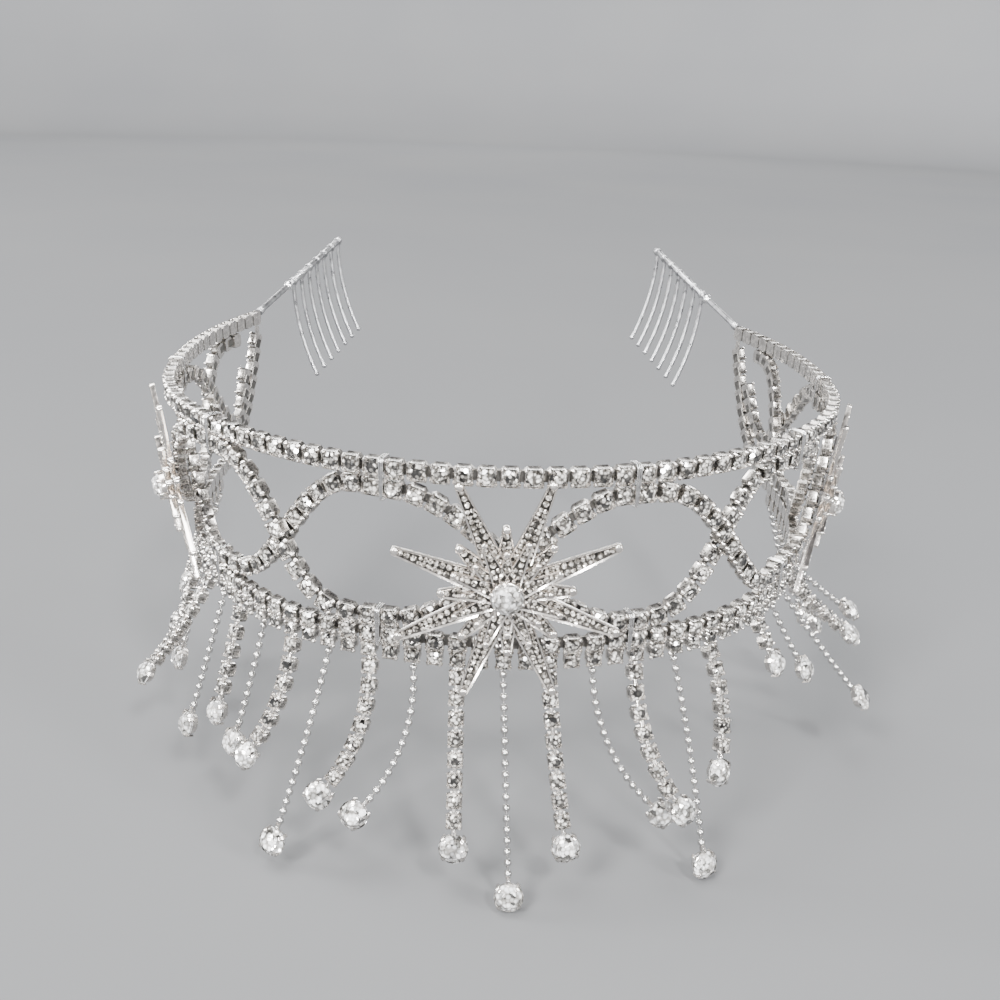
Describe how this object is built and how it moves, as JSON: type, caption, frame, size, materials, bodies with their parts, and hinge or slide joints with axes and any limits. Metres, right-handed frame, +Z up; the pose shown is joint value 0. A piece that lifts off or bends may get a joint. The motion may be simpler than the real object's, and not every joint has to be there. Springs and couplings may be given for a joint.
{
  "type": "rhinestone tiara",
  "caption": "Open bandeau tiara of silver-tone cup chain: two rails, crossing waves, star brooches, a fringe with stone drops and side combs.",
  "frame": {"origin": "centre of the hoop at the height of the bottom rail, where a head sits in it (mount head_seat)", "axes": "+Z up, the front faces -Y, +X to the right seen from the front"},
  "size_m": [0.1744, 0.1862, 0.1006],
  "materials": {
    "rail_chain": "polished silver plating, soldered cups with clear square-set rhinestones",
    "wave_chain": "polished silver plating, linked cups with clear rhinestones",
    "fringe_cups": "polished silver plating, small cups and a clear round drop",
    "ball_chain": "bright ball chain with a clear round drop",
    "wrap_wire": "bright thin wire",
    "star_metal": "cast silver plating with a raised rim and set with small clear stones",
    "clear_stone": "clear cut glass, foiled behind",
    "comb_wire": "plain wire with a bead of bright solder",
    "comb_steel": "plain grey steel wire"
  },
  "bodies": {
    "root": {"top_rail": "rail_chain", "bottom_rail": "rail_chain", "wave_strand_a": "wave_chain", "wave_strand_b": "wave_chain", "wire_wraps": "wrap_wire", "front_star": "star_metal", "left_star": "star_metal", "right_star": "star_metal", "front_star_boss": "star_metal", "left_star_boss": "star_metal", "right_star_boss": "star_metal", "front_star_stone": "clear_stone", "left_star_stone": "clear_stone", "right_star_stone": "clear_stone", "comb_wire_left": "comb_wire", "comb_wire_right": "comb_wire", "comb_left": "comb_steel", "comb_right": "comb_steel", "strand_left_30": "fringe_cups", "strand_left_28": "ball_chain", "strand_left_26": "fringe_cups", "strand_left_24": "ball_chain", "strand_left_22": "fringe_cups", "strand_left_20": "ball_chain", "strand_left_18": "fringe_cups", "strand_left_16": "ball_chain", "strand_left_14": "fringe_cups", "strand_left_12": "ball_chain", "strand_left_10": "fringe_cups", "strand_left_8": "ball_chain", "strand_left_6": "fringe_cups", "strand_left_4": "ball_chain", "strand_left_2": "fringe_cups", "strand_centre": "ball_chain", "strand_right_2": "fringe_cups", "strand_right_4": "ball_chain", "strand_right_6": "fringe_cups", "strand_right_8": "ball_chain", "strand_right_10": "fringe_cups", "strand_right_14": "fringe_cups", "strand_right_16": "ball_chain", "strand_right_18": "ball_chain", "strand_right_20": "fringe_cups", "strand_right_22": "ball_chain", "strand_right_24": "fringe_cups", "strand_right_26": "ball_chain", "strand_right_28": "fringe_cups", "strand_right_30": "ball_chain"}
  },
  "joints": []
}
